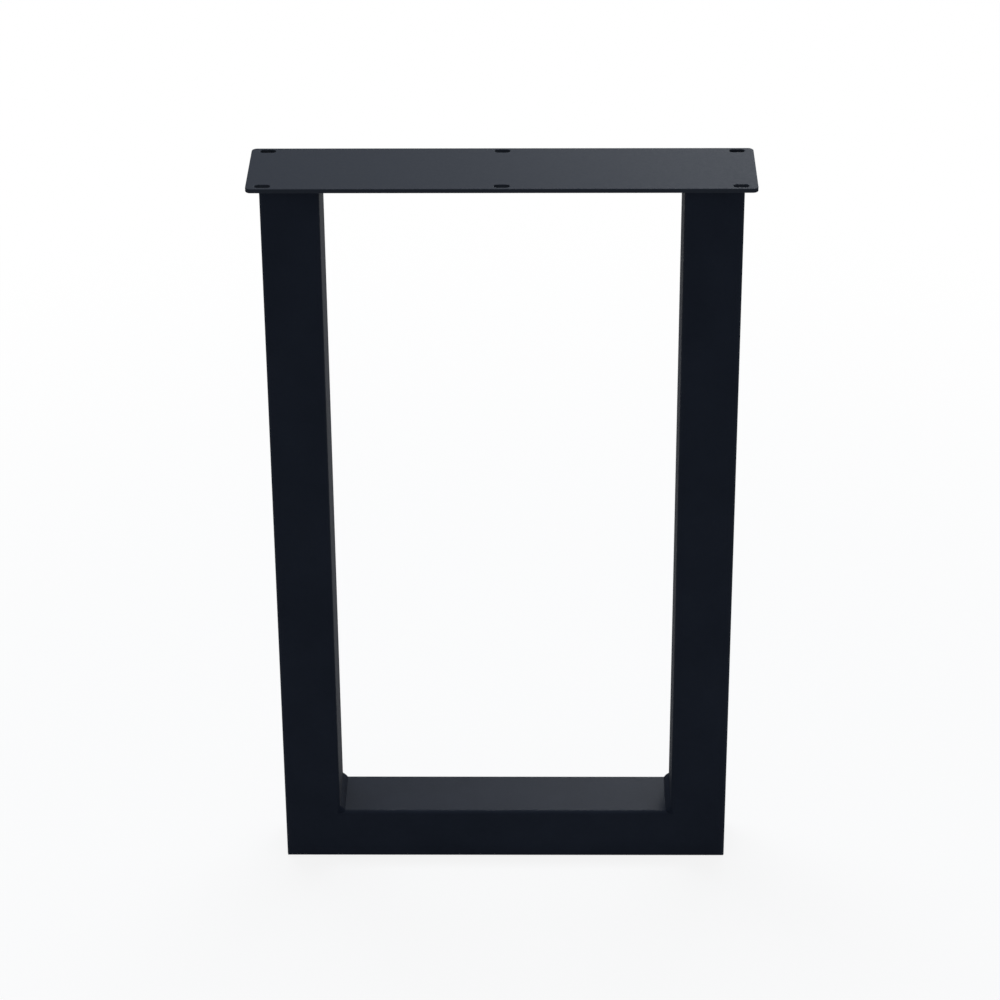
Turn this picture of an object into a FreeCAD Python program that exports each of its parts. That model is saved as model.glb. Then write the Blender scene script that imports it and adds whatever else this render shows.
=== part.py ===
import FreeCAD, Part
import math
import os

import Sketcher
from FreeCAD import Rotation, Vector

# A U shaped steel table leg: two upright tubes and a floor rail of the same tube, mitred into a U,
# with a slotted mounting plate welded across the top.
# +Z is up, X runs along the plate, the origin is on the floor under the middle of the leg.

# Driving dimensions in millimetres.
SIZES = {
    "overall_height": 720.0,  # floor to the top of the mounting plate
    "frame_width": 428.0,  # over the outer faces of the two uprights
    "tube_width": 53.0,  # tube section seen from the front
    "tube_depth": 64.0,  # tube section from front to back
    "tube_wall": 2.0,
    "tube_outer_radius": 4.0,
    "tube_inner_radius": 2.0,
    "mitre_corner_radius": 2.0,  # the outer corner of each mitre, ground round
    "plate_thickness": 4.0,
    "plate_end_overhang": 11.0,  # plate beyond the uprights at each end
    "plate_side_overhang": 13.0,  # plate beyond the tubes in front and behind
    "plate_corner_radius": 5.0,
    "plate_edge_radius": 0.5,  # broken edge round the plate
    "slot_length": 14.0,
    "slot_width": 6.5,
    "slot_end_inset": 15.0,  # plate end to the middle of the outer slots
    "slot_side_inset": 6.5,  # plate side to the middle of each row of slots
    "plate_weld_leg": 2.5,
    "corner_weld_leg": 5.0,
    "weld_crown": 0.5,  # how far a bead's face bulges beyond the straight line
    "corner_weld_end_radius": 1.2,
}
SLOT_COLUMNS = 3
SLOT_ROWS = 2

# Sizes that follow from the driving ones, as the expressions that the features are bound to.
PLATE_LENGTH = "sizes.frame_width + 2 * sizes.plate_end_overhang"
PLATE_DEPTH = "sizes.tube_depth + 2 * sizes.plate_side_overhang"
PLATE_UNDERSIDE = "sizes.overall_height - sizes.plate_thickness"
BORE_WIDTH = "sizes.tube_width - 2 * sizes.tube_wall"
BORE_DEPTH = "sizes.tube_depth - 2 * sizes.tube_wall"
UPRIGHT_OFFSET = "(sizes.frame_width - sizes.tube_width) / 2"
INNER_FACE_OFFSET = "sizes.frame_width / 2 - sizes.tube_width"
CUT_REACH = "sizes.tube_width / 4"  # how far a mitre cut runs past the tube at each end

UP = Vector(0, 0, 1)
ORIGIN_POINT = (-1, 1)
START, END, CENTRE = range(1, 4)  # the points of a sketched line or arc

doc = FreeCAD.newDocument("u_shaped_table_leg")


def fill_sheet():
    sheet = doc.addObject("Spreadsheet::Sheet", "sizes")
    for row, (alias, value) in enumerate(SIZES.items(), start=1):
        sheet.set(f"A{row}", alias)
        sheet.set(f"B{row}", str(value))
        sheet.setAlias(f"B{row}", alias)
    doc.recompute()
    return sheet


sizes = fill_sheet()


def number(expression):
    return float(sizes.evalExpression(expression))


def new_body(label):
    body = doc.addObject("PartDesign::Body", label)
    body.Label = label
    return body


def origin_feature(body, role):
    return next(feature for feature in body.Origin.OriginFeatures if feature.Role == role)


def new_sketch(body, name, plane):
    sketch = body.newObject("Sketcher::SketchObject", name)
    sketch.AttachmentSupport = [(origin_feature(body, plane), "")]
    sketch.MapMode = "FlatFace"
    return sketch


def constrain(sketch, name, expression, kind, *where):
    """Adds a named dimension to a sketch and ties it to the sheet."""
    index = sketch.addConstraint(Sketcher.Constraint(kind, *where, number(expression)))
    sketch.renameConstraint(index, name)
    sketch.setExpression(f"Constraints.{name}", expression)


def add_line(sketch, start, end):
    return sketch.addGeometry(Part.LineSegment(Vector(*start, 0), Vector(*end, 0)))


def add_arc(sketch, centre, radius, start_angle, end_angle):
    circle = Part.Circle(Vector(*centre, 0), UP, radius)
    return sketch.addGeometry(Part.ArcOfCircle(circle, start_angle, end_angle))


def draw_rounded_rectangle(sketch, name, width, depth, radius):
    """A rectangle with four equal round corners, centred on the sketch's origin."""
    x, y, corner = number(width) / 2, number(depth) / 2, number(radius)
    flat_x, flat_y = x - corner, y - corner
    front = add_line(sketch, (-flat_x, -y), (flat_x, -y))
    right = add_line(sketch, (x, -flat_y), (x, flat_y))
    back = add_line(sketch, (flat_x, y), (-flat_x, y))
    left = add_line(sketch, (-x, flat_y), (-x, -flat_y))
    sides = (front, right, back, left)
    centres = ((flat_x, -flat_y), (flat_x, flat_y), (-flat_x, flat_y), (-flat_x, -flat_y))
    corners = []
    for turn, centre in enumerate(centres):
        start_angle = (turn - 1) * math.pi / 2
        corners.append(add_arc(sketch, centre, corner, start_angle, start_angle + math.pi / 2))
    for turn, arc in enumerate(corners):
        following = sides[(turn + 1) % len(sides)]
        sketch.addConstraint(Sketcher.Constraint("Tangent", sides[turn], END, arc, START))
        sketch.addConstraint(Sketcher.Constraint("Tangent", arc, END, following, START))
    for side in (front, back):
        sketch.addConstraint(Sketcher.Constraint("Horizontal", side))
    for side in (left, right):
        sketch.addConstraint(Sketcher.Constraint("Vertical", side))
    for arc in corners[1:]:
        sketch.addConstraint(Sketcher.Constraint("Equal", corners[0], arc))
    sketch.addConstraint(Sketcher.Constraint("Symmetric", front, START, back, START, *ORIGIN_POINT))
    constrain(sketch, f"{name}_width", width, "DistanceX", left, START, right, START)
    constrain(sketch, f"{name}_depth", depth, "DistanceY", front, START, back, START)
    constrain(sketch, f"{name}_radius", radius, "Radius", corners[0])


def draw_tube_section(sketch, width, depth, bore_width, bore_depth):
    draw_rounded_rectangle(sketch, "outside", width, depth, "sizes.tube_outer_radius")
    draw_rounded_rectangle(sketch, "bore", bore_width, bore_depth, "sizes.tube_inner_radius")


def draw_mitre_cut(sketch, corner_x, corner_y, towards_x, towards_y):
    """A right triangle whose long side lies at 45 degrees and passes through the tube's corners.

    Its square corner stands off the tube by CUT_REACH, and its legs run from there in the two
    given directions, each 1 or -1.
    """
    x, y = number(corner_x), number(corner_y)
    leg = "sizes.tube_width + 2 * " + CUT_REACH
    square = (x, y)
    along = (x + towards_x * number(leg), y)
    upward = (x, y + towards_y * number(leg))
    base = add_line(sketch, square, along)
    slope = add_line(sketch, along, upward)
    side = add_line(sketch, upward, square)
    for line, following in ((base, slope), (slope, side), (side, base)):
        sketch.addConstraint(Sketcher.Constraint("Coincident", line, END, following, START))
    sketch.addConstraint(Sketcher.Constraint("Horizontal", base))
    sketch.addConstraint(Sketcher.Constraint("Vertical", side))
    sketch.addConstraint(Sketcher.Constraint("Equal", base, side))
    constrain(sketch, "leg", leg, "Distance", base)
    constrain(sketch, "corner_x", corner_x, "DistanceX", *ORIGIN_POINT, base, START)
    constrain(sketch, "corner_y", corner_y, "DistanceY", *ORIGIN_POINT, base, START)


def draw_corner_rounding(sketch, corner_x, corner_y):
    """The tip of a lower left corner, outside an arc that is tangent to both of its sides."""
    x, y = number(corner_x), number(corner_y)
    radius, reach = number("sizes.mitre_corner_radius"), number(CUT_REACH)
    low = add_line(sketch, (x - reach, y - reach), (x + radius, y - reach))
    right = add_line(sketch, (x + radius, y - reach), (x + radius, y))
    bow = add_arc(sketch, (x + radius, y + radius), radius, math.pi, 3 * math.pi / 2)
    high = add_line(sketch, (x, y + radius), (x - reach, y + radius))
    left = add_line(sketch, (x - reach, y + radius), (x - reach, y - reach))
    for line, following in ((low, right), (high, left), (left, low)):
        sketch.addConstraint(Sketcher.Constraint("Coincident", line, END, following, START))
    sketch.addConstraint(Sketcher.Constraint("Coincident", right, END, bow, END))
    sketch.addConstraint(Sketcher.Constraint("Coincident", bow, START, high, START))
    for line in (low, high):
        sketch.addConstraint(Sketcher.Constraint("Horizontal", line))
    for line in (left, right):
        sketch.addConstraint(Sketcher.Constraint("Vertical", line))
    sketch.addConstraint(Sketcher.Constraint("Horizontal", bow, START, bow, CENTRE))
    sketch.addConstraint(Sketcher.Constraint("Vertical", bow, END, bow, CENTRE))
    constrain(sketch, "radius", "sizes.mitre_corner_radius", "Radius", bow)
    for axis, corner in (("X", corner_x), ("Y", corner_y)):
        centre = f"{corner} + sizes.mitre_corner_radius"
        outside = f"{corner} - {CUT_REACH}"
        constrain(sketch, f"centre_{axis}", centre, f"Distance{axis}", *ORIGIN_POINT, bow, CENTRE)
        constrain(sketch, f"outside_{axis}", outside, f"Distance{axis}", *ORIGIN_POINT, low, START)


def pad(body, name, sketch, length, side_type="One side"):
    feature = body.newObject("PartDesign::Pad", name)
    feature.Profile = sketch
    feature.SideType = side_type
    feature.setExpression("Length", length)
    return feature


def cut_through(body, name, sketch, side_type="One side", reverse=False):
    """Pockets a sketch right through a body and makes sure that it took material away."""
    doc.recompute()
    before = body.Shape.Volume
    feature = body.newObject("PartDesign::Pocket", name)
    feature.Profile = sketch
    feature.Type = "ThroughAll"
    feature.SideType = side_type
    feature.Reversed = reverse
    doc.recompute()
    if body.Shape.Volume >= before:
        raise RuntimeError(f"{body.Label}: {name} cuts nothing")
    return feature


def place(body, x="0", z="0", turned=False):
    """Puts a body in the leg's frame, turned half round about +Z on the right hand side."""
    body.Placement.Rotation = Rotation(UP, 180 if turned else 0)
    body.setExpression(".Placement.Base.x", x)
    body.setExpression(".Placement.Base.z", z)
    return body


def build_upright(label, x, turned):
    """A tube from the plate down to the floor, mitred so that its outer side is the longer one."""
    body = new_body(label)
    section = new_sketch(body, f"{label}_section", "XY_Plane")
    draw_tube_section(section, "sizes.tube_width", "sizes.tube_depth", BORE_WIDTH, BORE_DEPTH)
    pad(body, f"{label}_tube", section, PLATE_UNDERSIDE)
    mitre = new_sketch(body, f"{label}_mitre", "XZ_Plane")
    draw_mitre_cut(mitre, f"sizes.tube_width / 2 + {CUT_REACH}", f"-{CUT_REACH}", -1, 1)
    cut_through(body, f"{label}_mitre_cut", mitre, "Symmetric")
    corner = new_sketch(body, f"{label}_corner", "XZ_Plane")
    draw_corner_rounding(corner, "-sizes.tube_width / 2", "0")
    cut_through(body, f"{label}_corner_cut", corner, "Symmetric")
    return place(body, x, turned=turned)


def build_rail(label):
    """The same tube lying on the floor, mitred at both ends."""
    body = new_body(label)
    section = new_sketch(body, f"{label}_section", "YZ_Plane")
    draw_tube_section(section, "sizes.tube_depth", "sizes.tube_width", BORE_DEPTH, BORE_WIDTH)
    pad(body, f"{label}_tube", section, "sizes.frame_width", "Symmetric")
    mitre = new_sketch(body, f"{label}_mitre", "XZ_Plane")
    left_end = "-sizes.frame_width / 2"
    draw_mitre_cut(mitre, f"{left_end} - {CUT_REACH}", f"sizes.tube_width / 2 + {CUT_REACH}", 1, -1)
    mitre_cut = cut_through(body, f"{label}_mitre_cut", mitre, "Symmetric")
    corner = new_sketch(body, f"{label}_corner", "XZ_Plane")
    draw_corner_rounding(corner, left_end, "-sizes.tube_width / 2")
    corner_cut = cut_through(body, f"{label}_corner_cut", corner, "Symmetric")
    right_end = body.newObject("PartDesign::Mirrored", f"{label}_right_end")
    right_end.Originals = [mitre_cut, corner_cut]
    right_end.MirrorPlane = (origin_feature(body, "YZ_Plane"), [""])
    body.Tip = right_end
    return place(body, z="sizes.tube_width / 2")


def draw_slot(sketch, centre_x, centre_y):
    """An obround along X whose middle lies at the given place."""
    x, y = number(centre_x), number(centre_y)
    radius = number("sizes.slot_width / 2")
    reach = number("(sizes.slot_length - sizes.slot_width) / 2")
    front = add_line(sketch, (x - reach, y - radius), (x + reach, y - radius))
    back = add_line(sketch, (x + reach, y + radius), (x - reach, y + radius))
    right = add_arc(sketch, (x + reach, y), radius, -math.pi / 2, math.pi / 2)
    left = add_arc(sketch, (x - reach, y), radius, math.pi / 2, 3 * math.pi / 2)
    for first, second in ((front, right), (right, back), (back, left), (left, front)):
        sketch.addConstraint(Sketcher.Constraint("Tangent", first, END, second, START))
    sketch.addConstraint(Sketcher.Constraint("Horizontal", front))
    sketch.addConstraint(Sketcher.Constraint("Equal", left, right))
    constrain(sketch, "end_radius", "sizes.slot_width / 2", "Radius", left)
    spacing = "sizes.slot_length - sizes.slot_width"
    constrain(sketch, "end_spacing", spacing, "DistanceX", left, CENTRE, right, CENTRE)
    left_centre = f"{centre_x} - ({spacing}) / 2"
    constrain(sketch, "left_centre_x", left_centre, "DistanceX", *ORIGIN_POINT, left, CENTRE)
    constrain(sketch, "left_centre_y", centre_y, "DistanceY", *ORIGIN_POINT, left, CENTRE)


def level_edges(shape):
    """Names of the edges that lie in a horizontal plane."""
    names = []
    for index, edge in enumerate(shape.Edges, start=1):
        if edge.BoundBox.ZLength < Part.Precision.confusion():
            names.append(f"Edge{index}")
    return names


def bowed_edges(shape):
    """Names of the edges that are arcs."""
    names = []
    for index, edge in enumerate(shape.Edges, start=1):
        if isinstance(edge.Curve, Part.Circle):
            names.append(f"Edge{index}")
    return names


def build_plate(label):
    """Sheet steel plate with round corners, broken edges and rows of screw slots."""
    body = new_body(label)
    outline = new_sketch(body, f"{label}_outline", "XY_Plane")
    draw_rounded_rectangle(outline, "plate", PLATE_LENGTH, PLATE_DEPTH, "sizes.plate_corner_radius")
    sheet = pad(body, f"{label}_sheet", outline, "sizes.plate_thickness")
    doc.recompute()
    edges = body.newObject("PartDesign::Fillet", f"{label}_edges")
    edges.Base = (sheet, level_edges(sheet.Shape))
    edges.setExpression("Radius", "sizes.plate_edge_radius")

    slot = new_sketch(body, f"{label}_slot", "XY_Plane")
    slot_span = f"{PLATE_LENGTH} - 2 * sizes.slot_end_inset"
    row_span = f"{PLATE_DEPTH} - 2 * sizes.slot_side_inset"
    draw_slot(slot, f"-({slot_span}) / 2", f"-({row_span}) / 2")
    first_slot = cut_through(body, f"{label}_slot_cut", slot, reverse=True)
    slots = body.newObject("PartDesign::LinearPattern", f"{label}_slots")
    slots.Originals = [first_slot]
    slots.Direction = (origin_feature(body, "X_Axis"), [""])
    slots.Occurrences = SLOT_COLUMNS
    slots.setExpression("Length", slot_span)
    slots.Direction2 = (origin_feature(body, "Y_Axis"), [""])
    slots.Occurrences2 = SLOT_ROWS
    slots.setExpression("Length2", row_span)
    body.Tip = slots
    return place(body, z=PLATE_UNDERSIDE)


def draw_bead(sketch, corner_x, leg, downward):
    """The section of a fillet weld: two equal legs in a corner and a slightly crowned face.

    The legs start at (corner_x, 0); one runs along +X and the other down or up.
    """
    x, size, crown = number(corner_x), number(leg), number("sizes.weld_crown")
    turn = -1 if downward else 1
    corner, along, across = (x, 0), (x + size, 0), (x, turn * size)
    level = add_line(sketch, corner, along)
    upright = add_line(sketch, across, corner)
    crest = (x + size / 2 + crown / math.sqrt(2), turn * (size / 2 + crown / math.sqrt(2)))
    bow = Part.Arc(Vector(*along, 0), Vector(*crest, 0), Vector(*across, 0))
    face = sketch.addGeometry(bow)
    level_point, upright_point = (END, START) if downward else (START, END)
    sketch.addConstraint(Sketcher.Constraint("Coincident", upright, END, level, START))
    sketch.addConstraint(Sketcher.Constraint("Coincident", level, END, face, level_point))
    sketch.addConstraint(Sketcher.Constraint("Coincident", upright, START, face, upright_point))
    sketch.addConstraint(Sketcher.Constraint("Horizontal", level))
    sketch.addConstraint(Sketcher.Constraint("Vertical", upright))
    sketch.addConstraint(Sketcher.Constraint("Equal", level, upright))
    constrain(sketch, "leg", leg, "Distance", level)
    # chord and crown give the radius of the crowned face
    radius = f"(({leg}) ^ 2 + 2 * sizes.weld_crown ^ 2) / (4 * sizes.weld_crown)"
    constrain(sketch, "face_radius", radius, "Radius", face)
    if corner_x == "0":
        sketch.addConstraint(Sketcher.Constraint("Coincident", level, START, *ORIGIN_POINT))
    else:
        sketch.addConstraint(Sketcher.Constraint("Horizontal", level, START, *ORIGIN_POINT))
        constrain(sketch, "corner_x", corner_x, "DistanceX", *ORIGIN_POINT, level, START)


def build_plate_weld(label, x):
    """A bead swept once round the tube, in the corner between the tube and the plate."""
    body = new_body(label)
    path = new_sketch(body, f"{label}_path", "XY_Plane")
    draw_rounded_rectangle(
        path, "tube", "sizes.tube_width", "sizes.tube_depth", "sizes.tube_outer_radius"
    )
    section = new_sketch(body, f"{label}_section", "XZ_Plane")
    draw_bead(section, "sizes.tube_width / 2", "sizes.plate_weld_leg", downward=True)
    doc.recompute()
    bead = body.newObject("PartDesign::AdditivePipe", f"{label}_bead")
    bead.Profile = section
    bead.Spine = path
    return place(body, x, PLATE_UNDERSIDE)


def build_corner_weld(label, x, turned):
    """A straight bead across the flat of the inner mitre corner, rounded off at both ends."""
    body = new_body(label)
    section = new_sketch(body, f"{label}_section", "XZ_Plane")
    draw_bead(section, "0", "sizes.corner_weld_leg", downward=False)
    length = "sizes.tube_depth - 2 * sizes.tube_outer_radius"
    bead = pad(body, f"{label}_bead", section, length, "Symmetric")
    doc.recompute()
    ends = body.newObject("PartDesign::Fillet", f"{label}_ends")
    ends.Base = (bead, bowed_edges(bead.Shape))
    ends.setExpression("Radius", "sizes.corner_weld_end_radius")
    return place(body, x, "sizes.tube_width", turned)


def check_and_write(bodies):
    doc.recompute()
    for thing in doc.Objects:
        faults = {"Invalid", "Error"} & set(thing.State)
        if faults:
            raise RuntimeError(f"{thing.Label}: {thing.State}")
    for body in bodies:
        if body.Shape.isNull() or not body.Shape.isValid():
            raise RuntimeError(f"{body.Label}: no valid shape")
    os.makedirs("parts", exist_ok=True)
    for body in bodies:
        body.Shape.exportStep(f"parts/{body.Label}.step")
        print(f"{body.Label}: {body.Shape.Volume:.1f} mm3")


check_and_write(
    [
        build_plate("top_plate"),
        build_upright("left_upright", f"-{UPRIGHT_OFFSET}", turned=False),
        build_upright("right_upright", UPRIGHT_OFFSET, turned=True),
        build_rail("floor_rail"),
        build_plate_weld("left_plate_weld", f"-{UPRIGHT_OFFSET}"),
        build_plate_weld("right_plate_weld", UPRIGHT_OFFSET),
        build_corner_weld("left_corner_weld", f"-({INNER_FACE_OFFSET})", turned=False),
        build_corner_weld("right_corner_weld", INNER_FACE_OFFSET, turned=True),
    ]
)
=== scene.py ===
import math

import bmesh
import bpy
from mathutils import Matrix, Vector, noise


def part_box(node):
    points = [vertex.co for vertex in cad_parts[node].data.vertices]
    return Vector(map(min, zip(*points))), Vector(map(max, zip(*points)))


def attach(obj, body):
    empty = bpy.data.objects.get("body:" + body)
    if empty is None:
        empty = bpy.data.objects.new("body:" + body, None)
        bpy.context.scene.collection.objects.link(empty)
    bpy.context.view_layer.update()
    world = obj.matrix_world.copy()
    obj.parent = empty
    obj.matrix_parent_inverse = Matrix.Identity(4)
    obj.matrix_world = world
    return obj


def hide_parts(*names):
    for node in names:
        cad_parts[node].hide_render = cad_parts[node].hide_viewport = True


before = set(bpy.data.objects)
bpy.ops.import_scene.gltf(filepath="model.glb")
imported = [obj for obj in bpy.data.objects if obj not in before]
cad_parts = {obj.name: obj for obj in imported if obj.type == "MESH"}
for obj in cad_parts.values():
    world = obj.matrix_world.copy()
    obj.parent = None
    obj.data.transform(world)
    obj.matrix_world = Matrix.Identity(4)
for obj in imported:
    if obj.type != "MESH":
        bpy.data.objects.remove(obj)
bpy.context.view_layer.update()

mm = 0.001
mergeDistance = 0.002 * mm
print("frame loaded:", ", ".join(sorted(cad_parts)))


# black powder coat, as it cures on flat sheet, on tube and over a weld

sheetCoat = {
    "name": "powder_coat_sheet",
    "deepTone": (0.0092, 0.0122, 0.0195),
    "paleTone": (0.0112, 0.0146, 0.0230),
    "edgeTone": (0.0190, 0.0225, 0.0300),   # thinner film on the broken edges
    "mottleScale": 26,
    "mottleSpread": (0.32, 0.68),           # where the noise turns from deep to pale
    "peelScale": 420,                       # orange peel, about 2.4 mm
    "peelDepth": 0.012 * mm,
    "grainScale": 2600,                     # fine tooth of the cured powder
    "grainDepth": 0.004 * mm,
    "roughLow": 0.70,
    "roughHigh": 0.80,
    "specular": 0.05,
}
tubeCoat = dict(sheetCoat, name="powder_coat_tube", mottleScale=19)
weldCoat = dict(                            # duller over the rough bead, and its darker tones are painted shade of the corners it sits in
    sheetCoat,
    name="powder_coat_weld",
    # darker than the sheet and tube: painted shade of the corners and the plate's underside
    deepTone=(0.0076, 0.0100, 0.0160),
    paleTone=(0.0106, 0.0138, 0.0218),
    mottleScale=140,
    roughLow=0.76,
    roughHigh=0.86,
    specular=0.025,
)


def nodeOf(tree, kind, **settings):
    node = tree.nodes.new(kind)
    for key, value in settings.items():
        if hasattr(node, key):
            setattr(node, key, value)
        else:
            node.inputs[key].default_value = value
    return node


def powderCoat(coat):
    material = bpy.data.materials.new(coat["name"])
    material.use_nodes = True
    tree = material.node_tree
    tree.nodes.clear()
    link = tree.links.new
    output = nodeOf(tree, "ShaderNodeOutputMaterial")
    shader = nodeOf(tree, "ShaderNodeBsdfPrincipled")
    shader.inputs["Specular IOR Level"].default_value = coat["specular"]
    link(shader.outputs["BSDF"], output.inputs["Surface"])
    place = nodeOf(tree, "ShaderNodeTexCoord").outputs["Object"]

    mottle = nodeOf(tree, "ShaderNodeTexNoise", Scale=coat["mottleScale"], Detail=4.0, Roughness=0.6)
    link(place, mottle.inputs["Vector"])
    tones = nodeOf(tree, "ShaderNodeValToRGB")
    stops = tones.color_ramp.elements
    stops[0].position, stops[1].position = coat["mottleSpread"]
    stops[0].color = (*coat["deepTone"], 1)
    stops[1].color = (*coat["paleTone"], 1)
    link(mottle.outputs["Fac"], tones.inputs["Fac"])
    edge = nodeOf(tree, "ShaderNodeAttribute", attribute_name="thinFilm")
    thinned = nodeOf(tree, "ShaderNodeMix", data_type="RGBA")
    thinned.inputs["B"].default_value = (*coat["edgeTone"], 1)
    link(edge.outputs["Fac"], thinned.inputs["Factor"])
    link(tones.outputs["Color"], thinned.inputs["A"])
    link(thinned.outputs["Result"], shader.inputs["Base Color"])

    peel = nodeOf(tree, "ShaderNodeTexNoise", Scale=coat["peelScale"], Detail=1.5, Roughness=0.4)
    grain = nodeOf(tree, "ShaderNodeTexNoise", Scale=coat["grainScale"], Detail=2.0, Roughness=0.6)
    link(place, peel.inputs["Vector"])
    link(place, grain.inputs["Vector"])
    gloss = nodeOf(tree, "ShaderNodeMapRange")
    gloss.inputs["To Min"].default_value = coat["roughLow"]
    gloss.inputs["To Max"].default_value = coat["roughHigh"]
    link(peel.outputs["Fac"], gloss.inputs["Value"])
    link(gloss.outputs["Result"], shader.inputs["Roughness"])
    peelBump = nodeOf(tree, "ShaderNodeBump", Distance=coat["peelDepth"])
    grainBump = nodeOf(tree, "ShaderNodeBump", Distance=coat["grainDepth"])
    link(peel.outputs["Fac"], peelBump.inputs["Height"])
    link(grain.outputs["Fac"], grainBump.inputs["Height"])
    link(peelBump.outputs["Normal"], grainBump.inputs["Normal"])
    link(grainBump.outputs["Normal"], shader.inputs["Normal"])
    return material


sheetBlack = powderCoat(sheetCoat)
tubeBlack = powderCoat(tubeCoat)
weldBlack = powderCoat(weldCoat)
print("powder coat mixed")


# what every piece needs once its bmesh is done

def finishPiece(bm, name, node, material, sharpAngle=35):
    bmesh.ops.remove_doubles(bm, verts=bm.verts, dist=mergeDistance)
    bmesh.ops.recalc_face_normals(bm, faces=bm.faces)
    mesh = bpy.data.meshes.new(name)
    bm.to_mesh(mesh)
    bm.free()
    mesh.shade_smooth()
    mesh.set_sharp_from_angle(angle=math.radians(sharpAngle))
    mesh.materials.append(material)
    piece = bpy.data.objects.new(name, mesh)
    bpy.context.scene.collection.objects.link(piece)
    flats = piece.modifiers.new("flat faces stay flat", "WEIGHTED_NORMAL")
    flats.keep_sharp = True
    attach(piece, "root")
    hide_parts(node)
    print(name, len(mesh.polygons), "faces")


def liftCopy(bm, faces, height):
    drawn = bmesh.ops.extrude_face_region(bm, geom=faces)["geom"]
    lifted = [v for v in drawn if isinstance(v, bmesh.types.BMVert)]
    bmesh.ops.translate(bm, vec=(0, 0, height), verts=lifted)


def roundedSheet(bm, width, depth, radius, segments):
    quad = bmesh.ops.create_grid(bm, x_segments=1, y_segments=1, size=0.5)["verts"]
    bmesh.ops.scale(bm, vec=(width, depth, 1), verts=quad)
    bmesh.ops.bevel(bm, geom=quad, affect="VERTICES", offset=radius, offset_type="OFFSET",
                    segments=segments, profile=0.5, material=-1)


# tubes: a rounded section with its bore, drawn out, then mitred at the floor

tube = {
    "wall": 2 * mm,
    "cornerRadius": 4 * mm,
    "cornerSegments": 8,
    "tipRadius": 2 * mm,            # the outer corner of each mitre is ground to this
    "tipSegments": 8,
    "sawDistance": 0.0005 * mm,     # points this near a saw cut count as on it
}


def drawTube(width, depth, length):
    bm = bmesh.new()
    roundedSheet(bm, width, depth, tube["cornerRadius"], tube["cornerSegments"])
    bore = bm.faces[:]
    bmesh.ops.inset_region(bm, faces=bore, thickness=tube["wall"], use_boundary=True, use_even_offset=True)
    bmesh.ops.delete(bm, geom=bore, context="FACES")
    liftCopy(bm, bm.faces[:], length)
    return bm


def sawOff(bm, point, outward):
    everything = bm.verts[:] + bm.edges[:] + bm.faces[:]
    cut = bmesh.ops.bisect_plane(bm, geom=everything, dist=tube["sawDistance"], plane_co=point,
                                 plane_no=outward, clear_outer=True)["geom_cut"]
    return [e for e in cut if isinstance(e, bmesh.types.BMEdge)]


def mitreEnd(bm, side, outerX, isRail):
    # the saw line climbs at 45 degrees from the outer floor corner to the inner corner
    corner = Vector((side * outerX, 0, 0))
    outward = Vector((-side, 0, -1)) if not isRail else Vector((side, 0, 1))
    bmesh.ops.bridge_loops(bm, edges=sawOff(bm, corner, outward))
    centre = corner + Vector((-side, 0, 1)) * tube["tipRadius"]
    step = math.pi / 2 / tube["tipSegments"]
    half = tube["tipSegments"] // 2
    for facet in range(half, 2 * half) if isRail else range(half):
        angle = (facet + 0.5) * step
        facing = Vector((side * math.cos(angle), 0, -math.sin(angle)))
        bmesh.ops.contextual_create(bm, geom=sawOff(bm, centre + facing * tube["tipRadius"], facing))


def makeUpright(side, name, node):
    low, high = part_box(node)
    bm = drawTube(high.x - low.x, high.y - low.y, high.z - low.z)
    bmesh.ops.translate(bm, vec=((low.x + high.x) / 2, 0, low.z), verts=bm.verts)
    mitreEnd(bm, side, max(abs(low.x), abs(high.x)), False)
    finishPiece(bm, name, node, tubeBlack)


def makeRail(name, node, uprightNode):
    low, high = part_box(node)
    outerX = abs(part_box(uprightNode)[0].x)
    bm = drawTube(high.z - low.z, high.y - low.y, 2 * outerX)
    bmesh.ops.rotate(bm, matrix=Matrix.Rotation(math.pi / 2, 3, "Y"), verts=bm.verts)
    bmesh.ops.translate(bm, vec=(-outerX, 0, (low.z + high.z) / 2), verts=bm.verts)
    for side in (-1, 1):
        mitreEnd(bm, side, outerX, True)
    finishPiece(bm, name, node, tubeBlack)


makeUpright(-1, "left_tube", "left_upright")
makeUpright(1, "right_tube", "right_upright")
makeRail("floor_tube", "floor_rail", "left_upright")


# mounting plate: sheet with rounded corners, six screw slots and broken edges

plate = {
    "cornerRadius": 5 * mm,
    "cornerSegments": 10,
    "slotLength": 14 * mm,
    "slotWidth": 6.5 * mm,
    "slotSegments": 8,
    "slotX": (-210 * mm, 0, 210 * mm),
    "slotY": (-38.5 * mm, 38.5 * mm),
    "edgeRadius": 0.5 * mm,
    "edgeSegments": 3,
    "rimAngle": math.radians(60),   # edges sharper than this are broken
}


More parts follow.
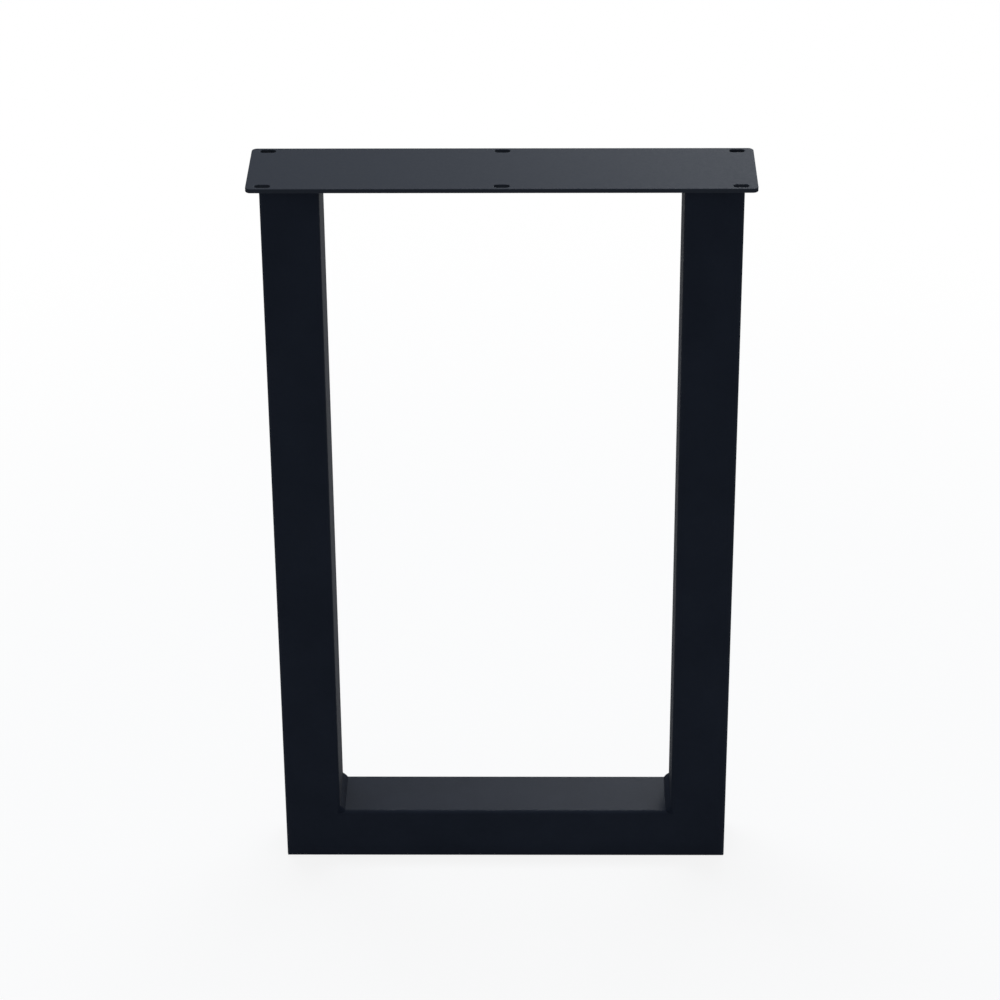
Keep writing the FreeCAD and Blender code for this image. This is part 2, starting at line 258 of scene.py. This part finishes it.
def makePlate(name, node):
    low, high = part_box(node)
    bm = bmesh.new()
    roundedSheet(bm, high.x - low.x, high.y - low.y, plate["cornerRadius"], plate["cornerSegments"])
    for x in plate["slotX"]:
        for y in plate["slotY"]:
            before = set(bm.verts)
            width = plate["slotWidth"]
            roundedSheet(bm, plate["slotLength"], width, width / 2, plate["slotSegments"])
            bmesh.ops.translate(bm, vec=(x, y, 0), verts=[v for v in bm.verts if v not in before])
    bmesh.ops.remove_doubles(bm, verts=bm.verts, dist=mergeDistance)
    bmesh.ops.delete(bm, geom=bm.faces[:], context="FACES_ONLY")
    bmesh.ops.triangle_fill(bm, edges=bm.edges[:], use_beauty=True, normal=(0, 0, 1))
    liftCopy(bm, bm.faces[:], high.z - low.z)
    bmesh.ops.translate(bm, vec=(0, 0, low.z), verts=bm.verts)
    bmesh.ops.recalc_face_normals(bm, faces=bm.faces)
    film = bm.verts.layers.float.new("thinFilm")
    rims = [e for e in bm.edges if e.calc_face_angle(0) > plate["rimAngle"]]
    broken = bmesh.ops.bevel(bm, geom=rims, affect="EDGES", offset=plate["edgeRadius"], offset_type="OFFSET",
                             segments=plate["edgeSegments"], profile=0.5, material=-1, clamp_overlap=True)
    for v in broken["verts"]:
        v[film] = 1
    finishPiece(bm, name, node, sheetBlack)


makePlate("mounting_plate", "top_plate")


# weld beads: a fillet section drawn along the joint, then rippled

bead = {
    "faceCuts": 7,
    "crown": 0.5 * mm,
    "step": 0.45 * mm,
    "ripplePitch": 2.8 * mm,
    "rippleHeight": 0.3 * mm,
    "rippleLevel": 0.7,         # share of a ripple that lies under the smooth bead
    "rippleBow": 0.45,          # how far the middle of a ripple runs ahead, in pitches
    "handShake": 0.5,           # uneven travel of the torch, in pitches
    "shakeWave": 0.3,           # how fast that changes, per pitch
    "swell": 0.6,               # uneven height of the ripples, as a share
    "swellWave": 0.4,
    "lapOver": 3.7 * mm,        # how far the corner beads run on over the rounded tube edges
    "endLength": 1.8 * mm,
    "endHeight": 0.5,           # share of the section left at the very end
    "cornerSteps": 12,
    "joinDistance": 0.05 * mm,  # the end of a ring merges with its start within this
    "sharpAngle": 60,
}


def startBead(root, firstToe, lastToe):
    bm = bmesh.new()
    bm.verts.layers.float.new("along")              # distance travelled by the torch
    across = bm.verts.layers.float.new("across")    # -1 and 1 at the toes
    share = bm.verts.layers.float.new("share")      # how much of the crown a point gets
    corners = [bm.verts.new(p) for p in (root, firstToe, lastToe)]
    bm.faces.new(corners)
    bmesh.ops.subdivide_edges(bm, edges=[bm.edges.get(corners[1:])], cuts=bead["faceCuts"])
    middle = (firstToe + lastToe) / 2
    outward = (middle - root).normalized()
    for v in bm.verts:
        if v.co != root:
            v[across] = 2 * (v.co - middle).dot(lastToe - firstToe) / (lastToe - firstToe).length_squared
            v[share] = 1 - v[across] ** 2
            v.co += outward * bead["crown"] * v[share]
    return bm, bm.faces[:][0]


def growBead(bm, cap, travel, distance):
    along = bm.verts.layers.float["along"]
    cap = bmesh.ops.extrude_discrete_faces(bm, faces=[cap])["faces"][0]
    bmesh.ops.transform(bm, matrix=travel, verts=cap.verts)
    for v in cap.verts:
        v[along] += distance
    return cap


def rippleBead(bm, pitch, phase):
    along, across, share = (bm.verts.layers.float[key] for key in ("along", "across", "share"))
    bmesh.ops.recalc_face_normals(bm, faces=bm.faces)
    bm.normal_update()
    lane = 7 * phase            # each bead reads the noise along a lane of its own
    for v in bm.verts:
        pitches = v[along] / pitch
        shake = bead["handShake"] * noise.noise(Vector((bead["shakeWave"] * pitches, lane, 0)))
        swell = 1 + bead["swell"] * noise.noise(Vector((bead["swellWave"] * pitches, lane, 5)))
        turn = pitches + phase + shake - bead["rippleBow"] * v[across] ** 2
        lift = abs(math.sin(math.pi * turn)) - bead["rippleLevel"]
        v.co += v.normal * bead["rippleHeight"] * swell * v[share] * lift


def makeCornerBead(side, name, node, phase):
    low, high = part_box(node)
    wall, toe = (low.x, high.x) if side < 0 else (high.x, low.x)
    start = low.y - bead["lapOver"]
    root = Vector((wall, start, low.z))
    bm, cap = startBead(root, Vector((toe, start, low.z)), Vector((wall, start, high.z)))
    total = high.y - low.y + 2 * bead["lapOver"]
    steps = round(total / bead["step"])
    for step in range(steps):
        cap = growBead(bm, cap, Matrix.Translation((0, total / steps, 0)), total / steps)
    bmesh.ops.holes_fill(bm, edges=[e for e in bm.edges if e.is_boundary], sides=0)
    rippleBead(bm, bead["ripplePitch"], phase)
    along = bm.verts.layers.float["along"]
    radius = tube["cornerRadius"]
    for v in bm.verts:
        fromEnd = max(0, min(v[along], total - v[along]))
        nose = max(0, 1 - fromEnd / bead["endLength"])      # both ends die away in a round nose
        swell = bead["endHeight"] + (1 - bead["endHeight"]) * math.sqrt(1 - nose ** 2)
        lap = max(0, bead["lapOver"] - fromEnd)             # and follow the tubes round their edges
        drop = radius - math.sqrt(radius ** 2 - lap ** 2)
        v.co.x = wall + (v.co.x - wall) * swell + side * drop
        v.co.z = low.z + (v.co.z - low.z) * swell - drop
    finishPiece(bm, name, node, weldBlack, bead["sharpAngle"])


def makePlateBead(name, node, tubeNode, phase):
    low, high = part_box(node)
    tubeLow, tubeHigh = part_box(tubeNode)
    radius = tube["cornerRadius"]
    leg = tubeLow.x - low.x
    pivot = tubeLow + Vector((radius, radius, 0))
    sides = (tubeHigh.x - tubeLow.x - 2 * radius, tubeHigh.y - tubeLow.y - 2 * radius)
    root = Vector((tubeHigh.x - radius, tubeLow.y, high.z))
    bm, cap = startBead(root, root - Vector((0, leg, 0)), root - Vector((0, 0, leg)))
    heading = Vector((-1, 0, 0))
    quarter = Matrix.Rotation(-math.pi / 2, 3, "Z")
    for corner in range(4):     # along one side, then round the corner of the tube
        side = sides[corner % 2]
        steps = round(side / bead["step"])
        for step in range(steps):
            cap = growBead(bm, cap, Matrix.Translation(heading * side / steps), side / steps)
        swing = Matrix.Rotation(-math.pi / 2 / bead["cornerSteps"], 4, "Z")
        swing = Matrix.Translation(pivot) @ swing @ Matrix.Translation(-pivot)
        for step in range(bead["cornerSteps"]):
            cap = growBead(bm, cap, swing, radius * math.pi / 2 / bead["cornerSteps"])
        heading = quarter @ heading
        pivot = pivot + heading * sides[(corner + 1) % 2]
    total = max(v[bm.verts.layers.float["along"]] for v in cap.verts)
    bmesh.ops.delete(bm, geom=[cap], context="FACES_ONLY")      # the ring meets its own start
    bmesh.ops.remove_doubles(bm, verts=bm.verts, dist=bead["joinDistance"])
    rippleBead(bm, total / round(total / bead["ripplePitch"]), phase)
    finishPiece(bm, name, node, weldBlack, bead["sharpAngle"])


makeCornerBead(-1, "left_corner_bead", "left_corner_weld", 0.15)
makeCornerBead(1, "right_corner_bead", "right_corner_weld", 0.60)
makePlateBead("left_plate_bead", "left_plate_weld", "left_upright", 0.30)
makePlateBead("right_plate_bead", "right_plate_weld", "right_upright", 0.75)


# white studio: floor, world, lamps and camera

studio = {
    "floorSize": 40,
    "floorDrop": 0.2 * mm,            # keeps the floor clear of the rail's underside
    "floorTone": (0.86, 0.86, 0.86),
    "floorGlow": 0.86,                # share of plain white that the eye and mirrors see
    "shadowReach": (0.45, 1.6),       # metres from the middle over which the floor fades to plain white
    "ambient": (0.42, 0.44, 0.47),
}
lampTint = (0.91, 0.95, 1.0)          # a little cool, as daylight tubes are
lamps = {
    "overhead_softbox": {
        "at": (-0.12, 0.75, 3.00),
        "aim": (-0.05, 0.0, 0.5),
        "size": (1.5, 1.0),
        "spread": 180,                 # degrees
        "watts": 50,
        "glossOnly": False,
    },
    "back_panel": {                    # sheen on the tops, while the coat keeps its own tone
        "at": (0.60, 1.50, 1.15),
        "aim": (0.10, 0.0, 0.35),
        "size": (0.7, 0.7),
        "spread": 180,
        "watts": 33,
        "glossOnly": True,
    },
    "rail_strip": {                    # has a grid, so that little but the rail gets its light
        "at": (0.42, 1.50, 0.85),
        "aim": (0.20, 0.0, 0.05),
        "size": (0.35, 0.3),
        "spread": 40,
        "watts": 2.4,
        "glossOnly": True,
    },
}
camera = {
    "at": (0.03277, -2.77627, 1.93866),
    "turn": math.radians(0.7510),     # to the left of straight on
    "tilt": math.radians(29.2603),    # down from level
    "roll": math.radians(-0.3659),
    "lens": 122.598,
    "sensor": 36,
}


def seenRays(tree):
    path = nodeOf(tree, "ShaderNodeLightPath")
    first = nodeOf(tree, "ShaderNodeMath", operation="MAXIMUM")
    tree.links.new(path.outputs["Is Camera Ray"], first.inputs[0])
    tree.links.new(path.outputs["Is Glossy Ray"], first.inputs[1])
    both = nodeOf(tree, "ShaderNodeMath", operation="MAXIMUM")
    tree.links.new(first.outputs[0], both.inputs[0])
    tree.links.new(path.outputs["Is Transmission Ray"], both.inputs[1])
    return both.outputs[0]


def layFloor():
    bm = bmesh.new()
    bmesh.ops.create_grid(bm, x_segments=1, y_segments=1, size=studio["floorSize"] / 2)
    bmesh.ops.translate(bm, vec=(0, 0, -studio["floorDrop"]), verts=bm.verts)
    mesh = bpy.data.meshes.new("studio_floor")
    bm.to_mesh(mesh)
    bm.free()
    material = bpy.data.materials.new("studio_white")
    material.use_nodes = True
    tree = material.node_tree
    tree.nodes.clear()
    output = nodeOf(tree, "ShaderNodeOutputMaterial")
    matte = nodeOf(tree, "ShaderNodeBsdfDiffuse", Color=(*studio["floorTone"], 1))
    glow = nodeOf(tree, "ShaderNodeEmission", Strength=1.0)
    away = nodeOf(tree, "ShaderNodeVectorMath", operation="LENGTH")
    tree.links.new(nodeOf(tree, "ShaderNodeTexCoord").outputs["Object"], away.inputs[0])
    fade = nodeOf(tree, "ShaderNodeMapRange", interpolation_type="SMOOTHSTEP")
    near, far = studio["shadowReach"]
    fade.inputs["From Min"].default_value = near
    fade.inputs["From Max"].default_value = far
    fade.inputs["To Min"].default_value = studio["floorGlow"]
    tree.links.new(away.outputs["Value"], fade.inputs["Value"])
    share = nodeOf(tree, "ShaderNodeMath", operation="MULTIPLY")
    tree.links.new(fade.outputs["Result"], share.inputs[1])
    tree.links.new(seenRays(tree), share.inputs[0])
    blend = nodeOf(tree, "ShaderNodeMixShader")
    tree.links.new(share.outputs[0], blend.inputs["Fac"])
    tree.links.new(matte.outputs[0], blend.inputs[1])
    tree.links.new(glow.outputs[0], blend.inputs[2])
    tree.links.new(blend.outputs[0], output.inputs["Surface"])
    mesh.materials.append(material)
    floor = bpy.data.objects.new("studio_floor", mesh)
    bpy.context.scene.collection.objects.link(floor)


def fillWorld():
    world = bpy.data.worlds.new("studio_world")
    world.use_nodes = True
    tree = world.node_tree
    tree.nodes.clear()
    output = nodeOf(tree, "ShaderNodeOutputWorld")
    ambient = nodeOf(tree, "ShaderNodeBackground", Color=(*studio["ambient"], 1))
    white = nodeOf(tree, "ShaderNodeBackground", Color=(1, 1, 1, 1))
    blend = nodeOf(tree, "ShaderNodeMixShader")
    tree.links.new(seenRays(tree), blend.inputs["Fac"])
    tree.links.new(ambient.outputs[0], blend.inputs[1])
    tree.links.new(white.outputs[0], blend.inputs[2])
    tree.links.new(blend.outputs[0], output.inputs["Surface"])
    bpy.context.scene.world = world


def hangLamps():
    for name, lamp in lamps.items():
        light = bpy.data.lights.new(name, "AREA")
        light.shape = "RECTANGLE"
        light.size, light.size_y = lamp["size"]
        light.energy = lamp["watts"]
        light.spread = math.radians(lamp["spread"])
        light.color = lampTint
        hung = bpy.data.objects.new(name, light)
        hung.location = lamp["at"]
        aim = Vector(lamp["aim"]) - hung.location
        hung.rotation_euler = aim.to_track_quat("-Z", "Y").to_euler()
        hung.visible_camera = False
        hung.visible_diffuse = not lamp["glossOnly"]
        bpy.context.scene.collection.objects.link(hung)


def setCamera():
    eye = bpy.data.cameras.new("photo_view")
    eye.lens = camera["lens"]
    eye.sensor_width = camera["sensor"]
    viewer = bpy.data.objects.new("photo_view", eye)
    facing = Matrix.Rotation(camera["turn"], 4, "Z") @ Matrix.Rotation(math.pi / 2 - camera["tilt"], 4, "X")
    viewer.matrix_world = Matrix.Translation(camera["at"]) @ facing @ Matrix.Rotation(camera["roll"], 4, "Z")
    bpy.context.scene.collection.objects.link(viewer)
    bpy.context.scene.camera = viewer


layFloor()
fillWorld()
hangLamps()
setCamera()
bpy.context.scene.view_settings.view_transform = "Standard"
print("studio set")
